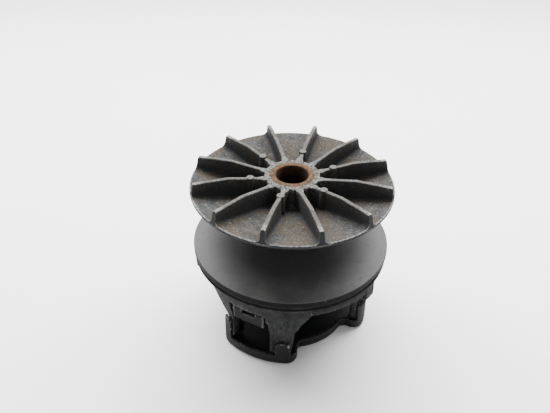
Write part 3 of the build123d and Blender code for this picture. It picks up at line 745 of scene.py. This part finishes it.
def fixed_casting():
    """Weathered grey cast aluminium: speckled, brown in the bays, pale on its worn edges."""
    look = Surface("cast_aluminium_weathered", 0.15, 0.12)
    radius, height = look.place()
    turned = look.attribute("turned")
    cloud = look.ramp(look.noise(8.0, 5, 0.62), 0.35, 0.65)
    brown = look.ramp(look.noise(26.0, 4, 0.6), 0.42, 0.58)
    base = look.mixed(cloud, (0.021, 0.022, 0.023), (0.053, 0.053, 0.0515))
    base = look.mixed(look.times(brown, 0.8), base, (0.048, 0.038, 0.027))
    pits = look.ramp(look.noise(2.4, 3, 0.6), 0.56, 0.63)
    base = look.mixed(look.times(pits, 0.7), base, (0.014, 0.014, 0.015))
    speckle = look.ramp(look.noise(1.9, 2, 0.6), 0.62, 0.68)
    base = look.mixed(look.times(speckle, 0.38), base, (0.23, 0.225, 0.21))
    near_hub = look.across(radius, 29, 44, 1.0, 0.12)
    mottle = look.ramp(look.noise(2.8, 3, 0.7), 0.46, 0.53)
    salted = look.mixed(mottle, (0.016, 0.016, 0.015), (0.135, 0.133, 0.122))
    on_top = look.across(height, HUB_TOP - 7, HUB_TOP - 1, 0.30, 0.85)
    base = look.mixed(look.times(near_hub, on_top), base, salted)
    # painted shade: the rib sides, rib ends, boss sides and outer rim face are darkened
    painted_shade = look.times(look.attribute("painted_shade"), look.ramp(cloud, 0, 1, 1.1, 0.85))
    painted_shade = look.ramp(painted_shade, 0.0, 0.85)
    base = look.mixed(painted_shade, base, (0.0250, 0.0258, 0.0275))
    chips = look.ramp(look.noise(1.9, 4, 0.65), 0.38, 0.58)
    worn = look.times(look.attribute("edge"), look.ramp(chips, 0, 1, 0.15, 0.95))
    outside = look.across(radius, 86, 99)
    base = look.mixed(worn, base, look.mixed(outside, (0.125, 0.125, 0.119), (0.260, 0.260, 0.248)))
    near_post = look.across(radius, 21.5, 24.5, 0.8, 0.0)
    rusty = look.times(near_post, look.ramp(look.noise(1.8, 4), 0.42, 0.58))
    base = look.mixed(look.times(rusty, 0.8), base, rust_colour(look))
    face, smudge = turned_face(look, (0.10, 0.10, 0.101), (0.15, 0.15, 0.149))
    colour = look.mixed(turned, base, face)
    cast_gloss = look.ramp(speckle, 0, 1, 0.80, 0.60)
    satin = look.ramp(smudge, 0, 1, 0.36, 0.46)
    gloss = look.mixed_numbers(turned, cast_gloss, satin)
    grain = look.maths("ADD", look.noise(0.9, 4, 0.7), look.times(look.noise(3.5, 3), 1.2))
    cast = look.times(grain, look.ramp(turned, 0, 1, 1.0, 0.0))
    normal = look.bump(look.maths("ADD", turned_lines(look, radius, turned), cast), 0.24)
    return look.finish(colour, gloss, normal)


def moving_casting():
    """Dark cast aluminium with a satin turned belt face and scratched towers, and painted shade on its
    rim and belt face.
    """
    look = Surface("sheave_aluminium_dark", 0.0, 0.03)
    radius, height = look.place()
    turned = look.attribute("turned")
    metallic = look.ramp(turned, 0, 1, 0.0, 0.42)
    cloud = look.ramp(look.noise(12.0, 5, 0.6), 0.34, 0.66)
    cast = look.mixed(cloud, (0.0135, 0.0138, 0.0146), (0.027, 0.027, 0.028))
    fleck = look.ramp(look.noise(1.6, 4, 0.7), 0.57, 0.72)
    cast = look.mixed(look.times(fleck, 0.35), cast, (0.055, 0.055, 0.055))
    stretched = add_node(look.tree, "ShaderNodeMapping",
                         {"Vector": look.coords, "Scale": (1.0, 1.0, 0.12)})
    streak = look.ramp(look.noise(2.6, 4, 0.7, stretched.outputs[0]), 0.46, 0.66)
    low = look.across(height, 74, 62)
    cast = look.mixed(look.times(look.times(streak, low), 0.6), cast, (0.060, 0.060, 0.060))
    chips = look.ramp(look.noise(2.2, 4, 0.65), 0.44, 0.62)
    corner = look.ramp(look.attribute("edge"), 0.45, 0.85)
    worn = look.times(corner, look.times(chips, 0.75))
    foot = look.across(height, 24, 14)
    cast = look.mixed(worn, cast, look.mixed(foot, (0.115, 0.115, 0.115), BARE_METAL))
    bare = look.ramp(look.noise(1.5, 4, 0.75), 0.62, 0.68)
    cast = look.mixed(look.times(bare, look.across(height, 32, 24)), cast, BARE_METAL)
    # painted shade: the outer rim face and the groove are taken to near black
    rim_shade = look.times(look.across(radius, 99, 100), look.across(height, 88, 92))
    cast = look.mixed(look.times(rim_shade, 0.9), cast, (0.0055, 0.0055, 0.006))
    face, smudge = turned_face(look, (0.073, 0.0735, 0.074), (0.114, 0.113, 0.1113))
    # painted shade: the belt face darkens towards the shaft, under the fixed sheave
    inner_face_shade = look.across(radius, 66, 92, 0.85, 0.0)
    face = look.mixed(inner_face_shade, face, (0.043, 0.043, 0.044))
    colour = look.mixed(turned, cast, face)
    satin = look.ramp(smudge, 0, 1, 0.52, 0.64)
    gloss = look.mixed_numbers(turned, 0.58, satin)
    grain = look.times(look.noise(1.1, 4, 0.7), look.ramp(turned, 0, 1, 1.0, 0.0))
    normal = look.bump(look.maths("ADD", turned_lines(look, radius, turned), grain), 0.2)
    return look.finish(colour, gloss, normal, metallic)


def black_cover():
    """Matte black coated casting with scuffs on its edges."""
    look = Surface("black_cover_coating", 0.0, 0.12)
    _, height = look.place()
    cloud = look.ramp(look.noise(14.0, 5, 0.6), 0.35, 0.65)
    dust = look.ramp(look.noise(1.3, 4, 0.7), 0.56, 0.74)
    chips = look.ramp(look.noise(2.0, 4, 0.7), 0.50, 0.64)
    colour = look.mixed(cloud, (0.0065, 0.0067, 0.0072), (0.013, 0.013, 0.0135))
    colour = look.mixed(look.times(dust, 0.18), colour, (0.05, 0.05, 0.05))
    corner = look.ramp(look.attribute("edge"), 0.45, 0.85)
    worn = look.times(corner, look.times(chips, 0.6))
    colour = look.mixed(worn, colour, (0.09, 0.09, 0.09))
    bare = look.times(look.ramp(look.noise(3.2, 4, 0.7), 0.54, 0.60), look.across(height, 15.5, 17.5))
    colour = look.mixed(look.times(corner, bare), colour, BARE_METAL)
    roughness = look.ramp(cloud, 0, 1, 0.44, 0.58)
    return look.finish(colour, roughness, look.bump(look.noise(0.9, 4, 0.7), 0.12))


def spider_casting():
    """Near-black casting, darker than its own dark grey as painted shade, with corners lighter partly
    from rubbing and partly as a painted highlight.
    """
    look = Surface("spider_casting_dark_painted_shade", 0.0, 0.1)
    cloud = look.ramp(look.noise(8.0, 5, 0.6), 0.32, 0.68)
    # painted shade: the casting's own dark grey is taken down to near black
    colour = look.mixed(cloud, (0.004, 0.004, 0.0045), (0.010, 0.010, 0.0105))
    # lighter corners: partly rub wear, partly a painted highlight along the lit edges
    corner = look.ramp(look.attribute("edge"), 0.35, 0.80)
    chips = look.ramp(look.noise(2.4, 4, 0.65), 0.28, 0.50)
    colour = look.mixed(look.times(corner, chips), colour, (0.075, 0.075, 0.077))
    roughness = look.ramp(cloud, 0, 1, 0.50, 0.64)
    return look.finish(colour, roughness, look.bump(look.noise(1.3, 4, 0.7), 0.18))


def post_steel():
    """Turned steel, clean inside the clutch, rusted at its mouth and in the bore, with painted shade
    further down the bore.
    """
    look = Surface("post_steel_rusted", 0.55, 0.4)
    radius, height = look.place()
    clean = look.mixed(look.ramp(look.noise(6.0, 4), 0.35, 0.65), (0.20, 0.20, 0.20),
                       (0.33, 0.325, 0.315))
    mouth = look.across(height, 170, 176.5)
    inside = look.times(look.across(radius, 16.5, 17.2, 1.0, 0.0), look.across(height, 100, 108))
    rusty = look.maths("MAXIMUM", mouth, inside)
    # painted shade: the rust in the bore darkens towards near black further down
    bore_shade = look.across(height, 176.5, 166, 0.45, 0.96)
    rust = look.mixed(look.times(inside, bore_shade), rust_colour(look), (0.010, 0.0045, 0.003))
    colour = look.mixed(rusty, clean, rust)
    roughness = look.ramp(rusty, 0, 1, 0.30, 0.85)
    pits = look.times(look.noise(0.9, 4, 0.7), look.ramp(rusty, 0, 1, 0.05, 1.0))
    return look.finish(colour, roughness, look.bump(pits, 0.25))


def plain_metal(name, dark, light, size_mm, roughness, depth_mm):
    """Machined, plated or cast metal: two tones, uneven gloss and a fine grain."""
    look = Surface(name, PLAIN_METALLIC)
    cloud = look.ramp(look.noise(size_mm, 5, 0.6), 0.32, 0.68)
    flecks = look.ramp(look.noise(size_mm / 8, 3, 0.7), 0.58, 0.74)
    colour = look.mixed(cloud, dark, light)
    colour = look.mixed(look.times(flecks, 0.3), colour, tuple(0.5 * c for c in dark))
    gloss = look.ramp(cloud, 0, 1, roughness, roughness + 0.14)
    return look.finish(colour, gloss, look.bump(look.noise(size_mm / 6, 4, 0.7), depth_mm))


def plain_plastic(name, dark, light, roughness):
    """Moulded plastic with a faint cloud and a very fine grain."""
    look = Surface(name, 0.0)
    cloud = look.ramp(look.noise(3.0, 4, 0.6), 0.35, 0.65)
    colour = look.mixed(cloud, dark, light)
    gloss = look.ramp(cloud, 0, 1, roughness, roughness + 0.1)
    return look.finish(colour, gloss, look.bump(look.noise(0.4, 3, 0.6), 0.03))


def floor_material():
    """Pale paper floor, very slightly uneven."""
    look = Surface("floor_paper", 0.0, 0.2)
    cloud = look.ramp(look.noise(240.0, 2, 0.5), 0.3, 0.7)
    colour = look.mixed(cloud, (0.90, 0.90, 0.90), (0.92, 0.92, 0.92))
    look.shader.inputs["Roughness"].default_value = 0.8
    return look.finish(colour)


MATERIALS = {
    "cast_aluminium": fixed_casting(),
    "sheave_aluminium": moving_casting(),
    "black_cover": black_cover(),
    "post_steel": post_steel(),
    "spider_casting": spider_casting(),
    "plain_steel": plain_metal("plain_steel_turned", (0.26, 0.26, 0.265), (0.44, 0.44, 0.44),
                               size_mm=6.0, roughness=0.28, depth_mm=0.02),
    "weight_steel": plain_metal("weight_steel_ground", (0.16, 0.16, 0.165), (0.30, 0.30, 0.31),
                                size_mm=7.0, roughness=0.34, depth_mm=0.04),
    "zinc_steel": plain_metal("zinc_steel_plated", (0.33, 0.32, 0.28), (0.52, 0.51, 0.47),
                              size_mm=4.0, roughness=0.30, depth_mm=0.02),
    "spring_steel": plain_metal("spring_steel_oiled", (0.07, 0.07, 0.075), (0.15, 0.15, 0.155),
                                size_mm=9.0, roughness=0.30, depth_mm=0.03),
    "bearing_bronze": plain_metal("bearing_bronze_sintered", (0.30, 0.19, 0.08), (0.48, 0.33, 0.15),
                                  size_mm=3.0, roughness=0.40, depth_mm=0.03),
    "bearing_polymer": plain_plastic("bearing_polymer_liner", (0.20, 0.14, 0.07),
                                     (0.34, 0.25, 0.14), roughness=0.42),
    "button_plastic": plain_plastic("button_plastic_black", (0.012, 0.012, 0.012),
                                    (0.03, 0.03, 0.03), roughness=0.38),
}


def dress(piece, node):
    """Gives a piece the material and the slot of a CAD node."""
    piece.data.materials.clear()
    piece.data.materials.append(MATERIALS[SLOT_OF[node]])


def piece_of(name, mesh, body, node):
    """Links a mesh as a piece that rides on a body and stands for a CAD node."""
    piece = bpy.data.objects.new(name, mesh)
    bpy.context.scene.collection.objects.link(piece)
    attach(piece, body)
    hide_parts(node)
    dress(piece, node)
    return piece


# ---- the pieces ----
piece_of("fixed_sheave_casting", fixed_sheave_mesh(), "fixed_assembly", "fixed_sheave")
piece_of("shaft_post", post_mesh(), "fixed_assembly", "post")
piece_of("moving_sheave_casting", moving_sheave_mesh(), "moving_assembly", "moving_sheave")
piece_of("cover_casting", cover_mesh(), "moving_assembly", "cover")
piece_of("spider_casting", spider_mesh(), "fixed_assembly", "spider")
spring = piece_of("drive_spring_wire", spring_mesh(), "fixed_assembly", "drive_spring")
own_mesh(spring)

# the rest keep their CAD shape
for node, cad_piece in NODES.items():
    if not cad_piece.hide_render:
        dress(cad_piece, node)

# ---- floor, light and camera, in metres ----
FLOOR_SIZE = 12.0
WORLD_STRENGTH = 0.75
LIGHT_PLACE = (-0.34, 0.60, 1.25)
LIGHT_WIDTH, LIGHT_DEPTH = 2.8, 0.8
LIGHT_POWER = 150.0
VIEW_AZIMUTH = math.radians(29.5)
VIEW_ELEVATION = math.radians(35.6)
VIEW_ROLL = math.radians(0.7)
VIEW_DISTANCE = 0.5949
VIEW_AIM = (0.0, -0.0337, 0.161)
LENS = 40.39

bpy.ops.mesh.primitive_plane_add(size=FLOOR_SIZE, location=(0, 0, cad_box[0].z))
floor = bpy.context.object
floor.name = "studio_floor"
floor.data.materials.append(floor_material())

world = bpy.data.worlds.new("studio")
bpy.context.scene.world = world
world.use_nodes = True
world.node_tree.nodes["Background"].inputs["Color"].default_value = (1.0, 1.0, 1.0, 1.0)
world.node_tree.nodes["Background"].inputs["Strength"].default_value = WORLD_STRENGTH

light_data = bpy.data.lights.new("soft_top", "AREA")
light_data.shape = "RECTANGLE"
light_data.size = LIGHT_WIDTH
light_data.size_y = LIGHT_DEPTH
light_data.energy = LIGHT_POWER
light = bpy.data.objects.new("soft_top", light_data)
light.location = LIGHT_PLACE
centre = (cad_box[0] + cad_box[1]) / 2
light.rotation_euler = (centre - Vector(LIGHT_PLACE)).to_track_quat("-Z", "Y").to_euler()
bpy.context.scene.collection.objects.link(light)

away = Vector((math.cos(VIEW_ELEVATION) * math.sin(VIEW_AZIMUTH),
               -math.cos(VIEW_ELEVATION) * math.cos(VIEW_AZIMUTH), math.sin(VIEW_ELEVATION)))
camera_data = bpy.data.cameras.new("camera")
camera_data.lens = LENS
camera_data.sensor_width = 36.0
camera_data.clip_end = 30.0
camera = bpy.data.objects.new("camera", camera_data)
camera.location = Vector(VIEW_AIM) + away * VIEW_DISTANCE
facing = (-away).to_track_quat("-Z", "Y").to_matrix().to_4x4()
camera.rotation_euler = (facing @ Matrix.Rotation(VIEW_ROLL, 4, "Z")).to_euler()
bpy.context.scene.collection.objects.link(camera)
bpy.context.scene.camera = camera
